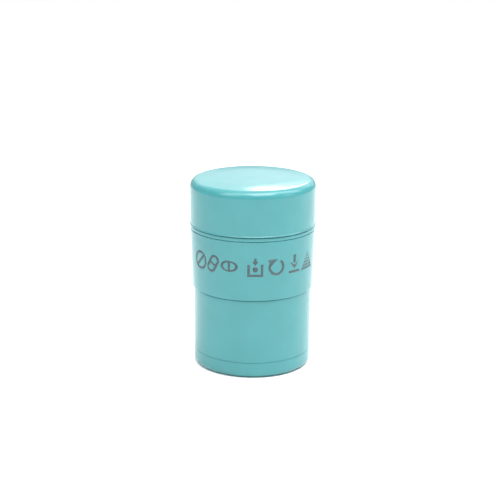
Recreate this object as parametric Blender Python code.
"""Twist-action tablet crusher: a capped plastic cylinder that unscrews at its waist.

The lower body holds a crushing cup whose threaded neck stands up inside the head. The head carries
a ram. Turning the head clockwise screws it down, so the ram's teeth grind a tablet against the
anvil plate. Tablets are kept under the push-on lid, and under the push-on bottom cover.

Units are metres, +Z is up, and the origin is the centre of the foot. Most pieces are turned about Z.
"""
import math

import bmesh
import bpy
from mathutils import Matrix

MM = 0.001

# ---- driving dimensions -------------------------------------------------------------------------
# Outside. Each height is one visible band, seam to seam. Each step in radius is taken from the
# band above it, down from the lid, and a taper is how much narrower a band is at its foot.
LID_RADIUS = 22.40 * MM
LID_HEIGHT = 16.20 * MM
LID_CORNER = 2.80 * MM
LID_OVERHANG = 0.25 * MM
STORE_FLANGE_HEIGHT = 1.30 * MM
HEAD_HEIGHT = 21.10 * MM
HEAD_TAPER = 0.65 * MM
BASE_STEP = 0.50 * MM
BASE_HEIGHT = 23.00 * MM
BASE_TAPER = 0.15 * MM
COVER_STEP = 0.05 * MM
COVER_HEIGHT = 5.70 * MM
COVER_CORNER = 2.20 * MM
RIM_CHAMFER = 0.35 * MM

# Clearances.
GAP = 0.30 * MM            # between pieces that seat on each other, and the width of a seam
RUNNING_GAP = 0.50 * MM    # between the ram and the cup that it turns in
SEAL_GAP = 0.20 * MM       # what a relaxed seal ring leaves free to the wall that it wipes
THREAD_GAP = 0.40 * MM     # radial, from a thread's crest to the other thread's root
CRUSH_GAP = 0.40 * MM      # between the two sets of teeth with the head screwed right down

# Walls and floors.
LID_WALL = 1.80 * MM
LID_TOP = 2.00 * MM
HEAD_WALL = 1.80 * MM
HEAD_WEB = 2.40 * MM
BASE_WALL = 1.60 * MM
BASE_WEB = 3.90 * MM
BASE_WEB_SKIN = 0.90 * MM  # of the web above the tips of the cup's screws
COVER_FLOOR = 1.80 * MM
COVER_SPIGOT_WALL = 1.80 * MM
COVER_SPIGOT_LENGTH = 5.40 * MM
BOTTOM_STORE_DEPTH = 6.90 * MM
FOOT_RECESS = 0.60 * MM
FOOT_RING_WIDTH = 5.10 * MM
STORE_WALL = 1.80 * MM
STORE_FLOOR = 1.50 * MM
STORE_SINK = 3.40 * MM     # how deep the store sits in the head
COLLAR_HEIGHT = 7.50 * MM
COLLAR_LID_GAP = 0.60 * MM

# Crushing cup, ram and their teeth.
CUP_FLOOR = 2.00 * MM
CUP_FLANGE = 1.70 * MM
NECK_WALL = 1.80 * MM
NECK_CLEARANCE = 1.00 * MM
RAM_WALL = 1.80 * MM
RAM_TOP_WEB = 3.00 * MM
RAM_BOSS_LENGTH = 6.50 * MM
PLATE_THICKNESS = 1.50 * MM
TIP_SPIGOT_LENGTH = 3.40 * MM
TOOTH_HEIGHT = 0.80 * MM
TOOTH_COUNT = 18
HUB_RADIUS = 2.50 * MM

# Thread between the cup's neck and the head.
PITCH = 4.00 * MM
THREAD_DEPTH = 0.90 * MM
THREAD_ROOT_WIDTH = 2.10 * MM
THREAD_CREST_WIDTH = 1.10 * MM
THREAD_BITE = 0.30 * MM    # how far a thread's root is sunk into its wall
THREAD_END = 1.50 * MM     # plain neck left at each end of the thread
SLEEVE_WALL = 1.80 * MM
SLEEVE_RIBS = 8
SLEEVE_RIB_DEPTH = 2.00 * MM
SLEEVE_RIB_WIDTH = 1.40 * MM

# Seal rings: the section of each, and where its groove sits.
RING_HEIGHT = 1.00 * MM
RING_GROOVE_DEPTH = 0.80 * MM
WIPER_ABOVE_TIP = 2.60 * MM
COLLAR_RING_BELOW_RIM = 2.60 * MM
COVER_RING_BELOW_RIM = 2.20 * MM

# Screws, all self-tapping.
RAM_SCREW_SHANK = 1.20 * MM
RAM_SCREW_HEAD = 2.60 * MM
RAM_SCREW_LENGTH = 8.40 * MM
CUP_SCREW_SHANK = 1.00 * MM
CUP_SCREW_HEAD_HEIGHT = 1.30 * MM
CUP_SCREW_COUNT = 3

# Drive lugs on top of the ram, which turn it with the head.
LUG_COUNT = 3
LUG_LENGTH = 4.00 * MM
LUG_WIDTH = 2.40 * MM
LUG_SKIN = 0.80 * MM       # of the head's web above the lugs

ROUND_STEPS = 36
SCREW_STEPS = 12
FULL_TURN = 2.0 * math.pi

# ---- levels and radii that follow from them -----------------------------------------------------
BASE_Z = COVER_HEIGHT
HEAD_Z = BASE_Z + BASE_HEIGHT
STORE_Z = HEAD_Z + HEAD_HEIGHT
LID_Z = STORE_Z + STORE_FLANGE_HEIGHT
TOP_Z = LID_Z + LID_HEIGHT

HEAD_TOP_RADIUS = LID_RADIUS - LID_OVERHANG
HEAD_FOOT_RADIUS = HEAD_TOP_RADIUS - HEAD_TAPER
BASE_TOP_RADIUS = HEAD_FOOT_RADIUS - BASE_STEP
BASE_FOOT_RADIUS = BASE_TOP_RADIUS - BASE_TAPER
COVER_RADIUS = BASE_FOOT_RADIUS - COVER_STEP
FOOT_RING_RADIUS = COVER_RADIUS - COVER_CORNER - FOOT_RING_WIDTH

# Radii of the thread, counted inwards from the head's wall.
HEAD_BORE = HEAD_FOOT_RADIUS - HEAD_WALL
SLEEVE_RIB_RADIUS = HEAD_BORE - GAP
SLEEVE_RADIUS = SLEEVE_RIB_RADIUS - SLEEVE_RIB_DEPTH
SLEEVE_BORE = SLEEVE_RADIUS - SLEEVE_WALL
THREAD_CREST_RADIUS = SLEEVE_BORE - THREAD_GAP
NECK_RADIUS = THREAD_CREST_RADIUS - THREAD_DEPTH
SLEEVE_CREST_RADIUS = NECK_RADIUS + THREAD_GAP
CUP_BORE = NECK_RADIUS - NECK_WALL
CUP_BODY_RADIUS = THREAD_CREST_RADIUS

# Levels in the head, counted down from the store.
STORE_FLOOR_Z = STORE_Z - STORE_SINK
HEAD_WEB_TOP_Z = STORE_FLOOR_Z - GAP
HEAD_WEB_Z = HEAD_WEB_TOP_Z - HEAD_WEB
NECK_TOP_Z = HEAD_WEB_Z - NECK_CLEARANCE
SLEEVE_Z = HEAD_Z + GAP
SLEEVE_TOP_Z = HEAD_WEB_Z - GAP
THREAD_START_Z = HEAD_Z + THREAD_END
THREAD_TURNS = (NECK_TOP_Z - HEAD_Z - 2 * THREAD_END) / PITCH

COLLAR_BORE_OF_LID = LID_RADIUS - LID_WALL
COLLAR_RADIUS = COLLAR_BORE_OF_LID - COLLAR_LID_GAP
COLLAR_INSIDE = COLLAR_RADIUS - STORE_WALL
COLLAR_TOP_Z = LID_Z + COLLAR_HEIGHT
COLLAR_RING_Z = COLLAR_TOP_Z - COLLAR_RING_BELOW_RIM
STORE_POCKET_RADIUS = COLLAR_RADIUS + GAP

BASE_BORE = BASE_FOOT_RADIUS - BASE_WALL
WEB_BORE = CUP_BODY_RADIUS + GAP
WEB_UNDERSIDE_Z = HEAD_Z - GAP - BASE_WEB
SPIGOT_RADIUS = BASE_BORE - GAP
SPIGOT_TOP_Z = BASE_Z - GAP + COVER_SPIGOT_LENGTH
COVER_FLOOR_TOP_Z = FOOT_RECESS + COVER_FLOOR
COVER_RING_Z = SPIGOT_TOP_Z - COVER_RING_BELOW_RIM

CUP_BASE_Z = COVER_FLOOR_TOP_Z + BOTTOM_STORE_DEPTH
CUP_FLANGE_RADIUS = BASE_BORE - GAP
CUP_FLANGE_TOP_Z = WEB_UNDERSIDE_Z - GAP
CUP_FLANGE_Z = CUP_FLANGE_TOP_Z - CUP_FLANGE
ANVIL_Z = CUP_BASE_Z + CUP_FLOOR + GAP
ANVIL_CREST_Z = ANVIL_Z + PLATE_THICKNESS + TOOTH_HEIGHT
PLATE_RADIUS = CUP_BORE - GAP

RAM_RADIUS = CUP_BORE - RUNNING_GAP
RAM_BORE = RAM_RADIUS - RAM_WALL
TIP_CREST_Z = ANVIL_CREST_Z + CRUSH_GAP
TIP_SEAT_Z = TIP_CREST_Z + TOOTH_HEIGHT + PLATE_THICKNESS
RAM_Z = TIP_SEAT_Z + GAP
RAM_TOP_Z = HEAD_WEB_Z - GAP
WIPER_Z = RAM_Z + WIPER_ABOVE_TIP
LUG_CENTRE_RADIUS = RAM_RADIUS - LUG_WIDTH
LUG_HEIGHT = HEAD_WEB - LUG_SKIN

# The cup's screws stand between the cup's body and the base shell's bore.
CUP_SCREW_CIRCLE = (CUP_BODY_RADIUS + BASE_BORE) / 2
CUP_SCREW_HEAD = (BASE_BORE - CUP_BODY_RADIUS) / 2 - GAP
CUP_SCREW_HEAD_Z = CUP_FLANGE_Z - GAP
CUP_SCREW_TIP_Z = WEB_UNDERSIDE_Z + BASE_WEB - BASE_WEB_SKIN - GAP


# ---- materials ----------------------------------------------------------------------------------
def make_material(name, color, roughness, metallic=0.0):
    material = bpy.data.materials.new(name)
    material.use_nodes = True
    shader = material.node_tree.nodes["Principled BSDF"]
    shader.inputs["Base Color"].default_value = (*color, 1.0)
    shader.inputs["Roughness"].default_value = roughness
    shader.inputs["Metallic"].default_value = metallic
    material.diffuse_color = (*color, 1.0)
    return material


# ---- shapes -------------------------------------------------------------------------------------
def arc(centre_r, centre_z, radius, start_deg, end_deg, steps=4):
    """Points along an arc in the (r, z) half plane, both ends included."""
    points = []
    for i in range(steps + 1):
        angle = math.radians(start_deg + (end_deg - start_deg) * i / steps)
        points.append((centre_r + radius * math.cos(angle), centre_z + radius * math.sin(angle)))
    return points


def spin_outline(mesh, outline, steps=ROUND_STEPS, at=(0.0, 0.0)):
    """Turns an outline of (r, z) points once about Z, and moves the result to at.

    An outline that starts and ends on the axis gives a solid with two poles, any other a ring.
    """
    verts = [mesh.verts.new((r, 0.0, z)) for r, z in outline]
    edges = [mesh.edges.new(pair) for pair in zip(verts, verts[1:])]
    if outline[0][0] > 0.0:
        edges.append(mesh.edges.new((verts[-1], verts[0])))
    before = set(mesh.verts) - set(verts)
    bmesh.ops.spin(mesh, geom=verts + edges, cent=(0, 0, 0), axis=(0, 0, 1), angle=FULL_TURN,
                   steps=steps, use_merge=True)
    made = [vert for vert in mesh.verts if vert not in before]
    bmesh.ops.remove_doubles(mesh, verts=made, dist=0.0001 * MM)
    made = [vert for vert in mesh.verts if vert not in before]
    bmesh.ops.translate(mesh, verts=made, vec=(at[0], at[1], 0.0))


def add_object(name, mesh, material=None, origin_z=0.0):
    """Closes the bmesh into an object whose origin is on the Z axis at origin_z."""
    bmesh.ops.recalc_face_normals(mesh, faces=mesh.faces)
    bmesh.ops.translate(mesh, verts=mesh.verts, vec=(0.0, 0.0, -origin_z))
    data = bpy.data.meshes.new(name)
    mesh.to_mesh(data)
    mesh.free()
    data.shade_smooth()
    data.set_sharp_from_angle(angle=math.radians(35))
    if material:
        data.materials.append(material)
    obj = bpy.data.objects.new(name, data)
    obj.location.z = origin_z
    bpy.context.scene.collection.objects.link(obj)
    return obj


def turned(name, outline, material, origin_z=0.0):
    mesh = bmesh.new()
    spin_outline(mesh, outline)
    return add_object(name, mesh, material, origin_z)


def add_box(mesh, size, centre, turn):
    """Adds a box that is centred at (radius, 0, z) and then turned about Z."""
    place = Matrix.Rotation(turn, 4, "Z") @ Matrix.Translation(centre) @ Matrix.Diagonal((*size, 1.0))
    bmesh.ops.create_cube(mesh, size=1.0, matrix=place)


def add_thread(mesh, root_radius, crest_radius, side=1):
    """Adds the right-handed helical ridge of the neck or of the sleeve, which starts on side times +X."""
    root = THREAD_ROOT_WIDTH / 2
    crest = THREAD_CREST_WIDTH / 2
    section = ((root_radius, -root), (crest_radius, -crest), (crest_radius, crest), (root_radius, root))
    face = mesh.faces.new([mesh.verts.new((side * r, 0.0, THREAD_START_Z + z)) for r, z in section])
    steps = round(THREAD_TURNS * ROUND_STEPS)
    bmesh.ops.spin(mesh, geom=[face], cent=(0, 0, 0), axis=(0, 0, 1), angle=THREAD_TURNS * FULL_TURN,
                   steps=steps, dvec=(0.0, 0.0, THREAD_TURNS * PITCH / steps))


def cutter(name, mesh):
    """A shape that only cuts or joins another, and isn't a piece itself."""
    obj = add_object(name, mesh)
    obj.hide_render = True
    obj.display_type = "WIRE"
    return obj


def combine(obj, tool, operation):
    modifier = obj.modifiers.new(tool.name, "BOOLEAN")
    modifier.operation = operation
    modifier.object = tool
    modifier.solver = "EXACT"


def evenly_round(count):
    return [FULL_TURN * i / count for i in range(count)]


# ---- base: shell, crushing cup, anvil plate and screws ------------------------------------------
def cup_screw_places():
    return [(CUP_SCREW_CIRCLE * math.cos(turn), CUP_SCREW_CIRCLE * math.sin(turn))
            for turn in evenly_round(CUP_SCREW_COUNT)]


def drill_cup_screw_holes(piece, name, low_z, high_z):
    """Drills a clearance hole for each of the cup's screws, from low_z to high_z."""
    mesh = bmesh.new()
    radius = CUP_SCREW_SHANK + GAP
    hole = [(0.0, low_z), (radius, low_z), (radius, high_z), (0.0, high_z)]
    for at in cup_screw_places():
        spin_outline(mesh, hole, SCREW_STEPS, at)
    combine(piece, cutter(name, mesh), "DIFFERENCE")


def make_base_shell(plastic):
    top = HEAD_Z - GAP
    outline = [
        (BASE_FOOT_RADIUS, BASE_Z),
        (BASE_TOP_RADIUS, top - RIM_CHAMFER),
        (BASE_TOP_RADIUS - RIM_CHAMFER, top),
        (WEB_BORE, top),
        (WEB_BORE, WEB_UNDERSIDE_Z),
        (BASE_BORE, WEB_UNDERSIDE_Z),
        (BASE_BORE, BASE_Z),
    ]
    shell = turned("base_shell", outline, plastic)
    drill_cup_screw_holes(shell, "base_pilot_holes", WEB_UNDERSIDE_Z - GAP, CUP_SCREW_TIP_Z + 2 * GAP)
    return shell


def make_crushing_cup(plastic):
    outline = [
        (0.0, CUP_BASE_Z),
        (CUP_BODY_RADIUS - RIM_CHAMFER, CUP_BASE_Z),
        (CUP_BODY_RADIUS, CUP_BASE_Z + RIM_CHAMFER),
        (CUP_BODY_RADIUS, CUP_FLANGE_Z),
        (CUP_FLANGE_RADIUS, CUP_FLANGE_Z),
        (CUP_FLANGE_RADIUS, CUP_FLANGE_TOP_Z),
        (CUP_BODY_RADIUS, CUP_FLANGE_TOP_Z),
        (CUP_BODY_RADIUS, HEAD_Z),
        (NECK_RADIUS, HEAD_Z),
        (NECK_RADIUS, NECK_TOP_Z),
        (CUP_BORE, NECK_TOP_Z),
        (CUP_BORE, CUP_BASE_Z + CUP_FLOOR),
        (0.0, CUP_BASE_Z + CUP_FLOOR),
    ]
    cup = turned("crushing_cup", outline, plastic)

    mesh = bmesh.new()
    add_thread(mesh, NECK_RADIUS - THREAD_BITE, THREAD_CREST_RADIUS)
    combine(cup, cutter("neck_thread", mesh), "UNION")
    drill_cup_screw_holes(cup, "flange_holes", CUP_FLANGE_Z - GAP, CUP_FLANGE_TOP_Z + GAP)
    return cup


def toothed_plate(name, material, back_z, direction, radius, boss=None):
    """A disc with radial teeth on one side. direction is +1 for teeth that point up, -1 for down.

    The toothed side is one pleated fan: its hub and every second point of its rim stand proud, so
    the crests are level and the valleys between them deepen outwards.
    boss is the (radius, length) of a round boss on the back.
    """
    mesh = bmesh.new()
    sides = 2 * TOOTH_COUNT
    bmesh.ops.create_circle(mesh, cap_ends=True, radius=radius, segments=sides,
                            matrix=Matrix.Translation((0.0, 0.0, back_z)))
    mesh.faces.ensure_lookup_table()
    back = mesh.faces[0]
    raised = bmesh.ops.extrude_face_region(mesh, geom=[back], use_keep_orig=True)["geom"]
    front = [item for item in raised if isinstance(item, bmesh.types.BMFace)]
    root_z = back_z + direction * PLATE_THICKNESS
    bmesh.ops.translate(mesh, verts=front[0].verts, vec=(0.0, 0.0, root_z - back_z))
    bmesh.ops.inset_region(mesh, faces=front, thickness=radius - HUB_RADIUS, use_even_offset=True)
    for vert in mesh.verts:
        on_front = abs(vert.co.z - root_z) < GAP / 2
        in_hub = vert.co.xy.length < (radius + HUB_RADIUS) / 2
        step = round(math.atan2(vert.co.y, vert.co.x) / FULL_TURN * sides)
        if on_front and (in_hub or step % 2 == 0):
            vert.co.z += direction * TOOTH_HEIGHT
    if boss:
        boss_radius, boss_length = boss
        bmesh.ops.inset_region(mesh, faces=[back], thickness=radius - boss_radius)
        risen = bmesh.ops.extrude_discrete_faces(mesh, faces=[back])["faces"][0]
        bmesh.ops.translate(mesh, verts=risen.verts, vec=(0.0, 0.0, -direction * boss_length))
    bmesh.ops.triangulate(mesh, faces=mesh.faces)
    return add_object(name, mesh, material)


def make_anvil_plate(plastic):
    return toothed_plate("anvil_plate", plastic, ANVIL_Z, 1, PLATE_RADIUS)


def make_cup_screws(steel):
    """Pan-head screws that go up through the cup's flange into the shell."""
    head_z = CUP_SCREW_HEAD_Z - CUP_SCREW_HEAD_HEIGHT
    outline = [
        (0.0, head_z),
        (0.7 * CUP_SCREW_HEAD, head_z),
        (CUP_SCREW_HEAD, head_z + 0.4 * CUP_SCREW_HEAD_HEIGHT),
        (CUP_SCREW_HEAD, CUP_SCREW_HEAD_Z),
        (CUP_SCREW_SHANK, CUP_SCREW_HEAD_Z),
        (CUP_SCREW_SHANK, CUP_SCREW_TIP_Z - CUP_SCREW_SHANK),
        (0.0, CUP_SCREW_TIP_Z),
    ]
    screws = []
    for number, at in enumerate(cup_screw_places(), start=1):
        mesh = bmesh.new()
        spin_outline(mesh, outline, SCREW_STEPS, at)
        screws.append(add_object(f"cup_screw_{number}", mesh, steel))
    return screws


# ---- bottom cover and its seal ------------------------------------------------------------------
def seal_ring(name, rubber, inner_radius, outer_radius, middle_z):
    """A ring of six-sided section."""
    middle_r = (inner_radius + outer_radius) / 2
    half_height = RING_HEIGHT / 2
    outline = [
        (inner_radius, middle_z - half_height / 2),
        (middle_r, middle_z - half_height),
        (outer_radius, middle_z - half_height / 2),
        (outer_radius, middle_z + half_height / 2),
        (middle_r, middle_z + half_height),
        (inner_radius, middle_z + half_height / 2),
    ]
    return turned(name, outline, rubber, middle_z)


def groove(wall_radius, middle_z):
    """The four outline points of a square groove in an outer wall, from the bottom up."""
    bottom = wall_radius - RING_GROOVE_DEPTH
    low = middle_z - RING_HEIGHT / 2 - GAP
    high = middle_z + RING_HEIGHT / 2 + GAP
    return [(wall_radius, low), (bottom, low), (bottom, high), (wall_radius, high)]


def make_bottom_cover(plastic):
    top = BASE_Z - GAP
    inside = SPIGOT_RADIUS - COVER_SPIGOT_WALL
    outline = [
        (0.0, FOOT_RECESS),
        (FOOT_RING_RADIUS - FOOT_RECESS, FOOT_RECESS),
        (FOOT_RING_RADIUS, 0.0),
        *arc(COVER_RADIUS - COVER_CORNER, COVER_CORNER, COVER_CORNER, -90, 0),
        (COVER_RADIUS, top),
        (SPIGOT_RADIUS, top),
        *groove(SPIGOT_RADIUS, COVER_RING_Z),
        (SPIGOT_RADIUS, SPIGOT_TOP_Z - RIM_CHAMFER),
        (SPIGOT_RADIUS - RIM_CHAMFER, SPIGOT_TOP_Z),
        (inside, SPIGOT_TOP_Z),
        (inside, COVER_FLOOR_TOP_Z),
        (0.0, COVER_FLOOR_TOP_Z),
    ]
    return turned("bottom_cover", outline, plastic)


def make_cover_seal(rubber):
    return seal_ring("bottom_cover_seal", rubber, SPIGOT_RADIUS - RING_GROOVE_DEPTH + GAP,
                     BASE_BORE - SEAL_GAP, COVER_RING_Z)


# ---- head: shell, thread sleeve, ram, tip, wiper and screw --------------------------------------
def countersink(gap):
    """The (radius, z) of a countersunk head's rim and of its throat, grown by gap."""
    rim_z = HEAD_WEB_TOP_Z - GAP / 2
    depth = RAM_SCREW_HEAD - RAM_SCREW_SHANK
    return (RAM_SCREW_HEAD + gap, rim_z), (RAM_SCREW_SHANK + gap, rim_z - depth)


def head_wall_radius(z):
    """The head tapers evenly from its foot to its top."""
    share = (z - HEAD_Z) / HEAD_HEIGHT
    return HEAD_FOOT_RADIUS + (HEAD_TOP_RADIUS - HEAD_FOOT_RADIUS) * share


def make_head_shell(plastic):
    top = STORE_Z - GAP
    rim, throat = countersink(GAP)
    outline = [
        (HEAD_FOOT_RADIUS - RIM_CHAMFER, HEAD_Z),
        (head_wall_radius(HEAD_Z + RIM_CHAMFER), HEAD_Z + RIM_CHAMFER),
        (head_wall_radius(top), top),
        (STORE_POCKET_RADIUS, top),
        (STORE_POCKET_RADIUS, HEAD_WEB_TOP_Z),
        (rim[0], HEAD_WEB_TOP_Z),
        rim,
        throat,
        (throat[0], HEAD_WEB_Z),
        (HEAD_BORE, HEAD_WEB_Z),
        (HEAD_BORE, HEAD_Z),
    ]
    shell = turned("head_shell", outline, plastic)
    mesh = bmesh.new()
    for turn in evenly_round(LUG_COUNT):
        add_box(mesh, (LUG_WIDTH + 2 * GAP, LUG_LENGTH + 2 * GAP, LUG_HEIGHT + 3 * GAP),
                (LUG_CENTRE_RADIUS, 0.0, RAM_TOP_Z + (LUG_HEIGHT + GAP) / 2), turn)
    combine(shell, cutter("lug_slots", mesh), "DIFFERENCE")
    return shell


def make_thread_sleeve(plastic):
    """The head's inner sleeve: a ribbed tube with the thread that runs on the cup's neck."""
    outline = [
        (SLEEVE_BORE, SLEEVE_Z),
        (SLEEVE_RADIUS, SLEEVE_Z),
        (SLEEVE_RADIUS, SLEEVE_TOP_Z - SLEEVE_WALL),
        (SLEEVE_RIB_RADIUS, SLEEVE_TOP_Z - SLEEVE_WALL),
        (SLEEVE_RIB_RADIUS, SLEEVE_TOP_Z),
        (SLEEVE_BORE, SLEEVE_TOP_Z),
    ]
    sleeve = turned("thread_sleeve", outline, plastic)

    mesh = bmesh.new()
    add_thread(mesh, SLEEVE_BORE + THREAD_BITE, SLEEVE_CREST_RADIUS, side=-1)
    combine(sleeve, cutter("sleeve_thread", mesh), "UNION")

    mesh = bmesh.new()
    rib_bottom = SLEEVE_Z + SLEEVE_RIB_WIDTH
    rib_top = SLEEVE_TOP_Z - SLEEVE_WALL / 2
    reach = SLEEVE_RIB_RADIUS - SLEEVE_RADIUS + THREAD_BITE
    for turn in evenly_round(SLEEVE_RIBS):
        add_box(mesh, (reach, SLEEVE_RIB_WIDTH, rib_top - rib_bottom),
                (SLEEVE_RIB_RADIUS - GAP - reach / 2, 0.0, (rib_top + rib_bottom) / 2), turn)
    combine(sleeve, cutter("sleeve_ribs", mesh), "UNION")
    return sleeve


def make_ram(plastic):
    web_z = RAM_TOP_Z - RAM_TOP_WEB
    pilot = RAM_SCREW_SHANK + GAP
    boss_z = web_z - RAM_BOSS_LENGTH
    boss_radius = pilot + RAM_WALL
    outline = [
        (RAM_RADIUS, RAM_Z),
        *groove(RAM_RADIUS, WIPER_Z),
        (RAM_RADIUS, RAM_TOP_Z - RIM_CHAMFER),
        (RAM_RADIUS - RIM_CHAMFER, RAM_TOP_Z),
        (pilot, RAM_TOP_Z),
        (pilot, boss_z),
        (boss_radius, boss_z),
        (boss_radius, web_z),
        (RAM_BORE, web_z),
        (RAM_BORE, RAM_Z),
    ]
    ram = turned("ram", outline, plastic)
    mesh = bmesh.new()
    for turn in evenly_round(LUG_COUNT):
        add_box(mesh, (LUG_WIDTH, LUG_LENGTH, LUG_HEIGHT + GAP),
                (LUG_CENTRE_RADIUS, 0.0, RAM_TOP_Z + (LUG_HEIGHT - GAP) / 2), turn)
    combine(ram, cutter("drive_lugs", mesh), "UNION")
    return ram


def make_ram_tip(plastic):
    return toothed_plate("ram_tip", plastic, TIP_SEAT_Z, -1, RAM_RADIUS,
                         boss=(RAM_BORE - GAP, TIP_SPIGOT_LENGTH))


def make_ram_wiper(rubber):
    return seal_ring("ram_wiper", rubber, RAM_RADIUS - RING_GROOVE_DEPTH + GAP,
                     CUP_BORE - SEAL_GAP, WIPER_Z)


def make_ram_screw(steel):
    rim, throat = countersink(0.0)
    tip_z = rim[1] - RAM_SCREW_LENGTH
    outline = [(0.0, rim[1]), rim, throat, (RAM_SCREW_SHANK, tip_z + RAM_SCREW_SHANK), (0.0, tip_z)]
    mesh = bmesh.new()
    spin_outline(mesh, outline, 2 * SCREW_STEPS)
    return add_object("ram_screw", mesh, steel)


# ---- tablet store in the head, and its seal -----------------------------------------------------
def make_store_cup(plastic):
    flange_top = LID_Z - GAP
    outline = [
        (0.0, STORE_FLOOR_Z),
        (COLLAR_RADIUS, STORE_FLOOR_Z),
        (COLLAR_RADIUS, STORE_Z),
        (HEAD_TOP_RADIUS, STORE_Z),
        (HEAD_TOP_RADIUS, flange_top),
        (COLLAR_RADIUS, flange_top),
        *groove(COLLAR_RADIUS, COLLAR_RING_Z),
        (COLLAR_RADIUS, COLLAR_TOP_Z - RIM_CHAMFER),
        (COLLAR_RADIUS - RIM_CHAMFER, COLLAR_TOP_Z),
        (COLLAR_INSIDE, COLLAR_TOP_Z),
        (COLLAR_INSIDE, STORE_FLOOR_Z + STORE_FLOOR),
        (0.0, STORE_FLOOR_Z + STORE_FLOOR),
    ]
    return turned("tablet_store", outline, plastic)


def make_collar_seal(rubber):
    return seal_ring("lid_seal", rubber, COLLAR_RADIUS - RING_GROOVE_DEPTH + GAP,
                     COLLAR_BORE_OF_LID - SEAL_GAP, COLLAR_RING_Z)


# ---- lid ----------------------------------------------------------------------------------------
def make_lid(plastic):
    corner_inside = LID_CORNER - LID_WALL / 2
    ceiling = TOP_Z - LID_TOP
    outline = [
        (0.0, TOP_Z),
        *reversed(arc(LID_RADIUS - LID_CORNER, TOP_Z - LID_CORNER, LID_CORNER, 0, 90, steps=5)),
        (LID_RADIUS, LID_Z + RIM_CHAMFER),
        (LID_RADIUS - RIM_CHAMFER, LID_Z),
        (COLLAR_BORE_OF_LID, LID_Z),
        *arc(COLLAR_BORE_OF_LID - corner_inside, ceiling - corner_inside, corner_inside, 0, 90, steps=3),
        (0.0, ceiling),
    ]
    return turned("lid", outline, plastic)


# ---- the whole crusher --------------------------------------------------------------------------
def hang_on(name, pieces, parent=None):
    """Parents pieces to an empty on the Z axis, so that a moving group can be posed as one."""
    group = bpy.data.objects.new(name, None)
    group.empty_display_size = 5 * MM
    bpy.context.scene.collection.objects.link(group)
    group.parent = parent
    for piece in pieces:
        piece.parent = group
    return group


def main():
    for obj in list(bpy.data.objects):
        bpy.data.objects.remove(obj, do_unlink=True)
    aqua = make_material("aqua_gloss_plastic", (0.115, 0.578, 0.565), 0.22)
    white = make_material("white_satin_plastic", (0.83, 0.83, 0.79), 0.38)
    ivory = make_material("hard_tooth_plastic", (0.71, 0.68, 0.60), 0.45)
    rubber = make_material("clear_grey_silicone", (0.42, 0.45, 0.46), 0.55)
    steel = make_material("zinc_plated_steel", (0.60, 0.60, 0.62), 0.30, 1.0)

    base = hang_on("base", [make_base_shell(aqua), make_crushing_cup(white), make_anvil_plate(ivory),
                            *make_cup_screws(steel)])
    hang_on("bottom_cover_slide", [make_bottom_cover(aqua), make_cover_seal(rubber)], base)
    rise = hang_on("head_rise", [make_ram_wiper(rubber)], base)
    head = hang_on("head_turn", [make_head_shell(aqua), make_thread_sleeve(white), make_ram(white),
                                 make_ram_tip(ivory), make_ram_screw(steel), make_store_cup(aqua),
                                 make_collar_seal(rubber)], rise)
    hang_on("lid_slide", [make_lid(aqua)], head)


main()
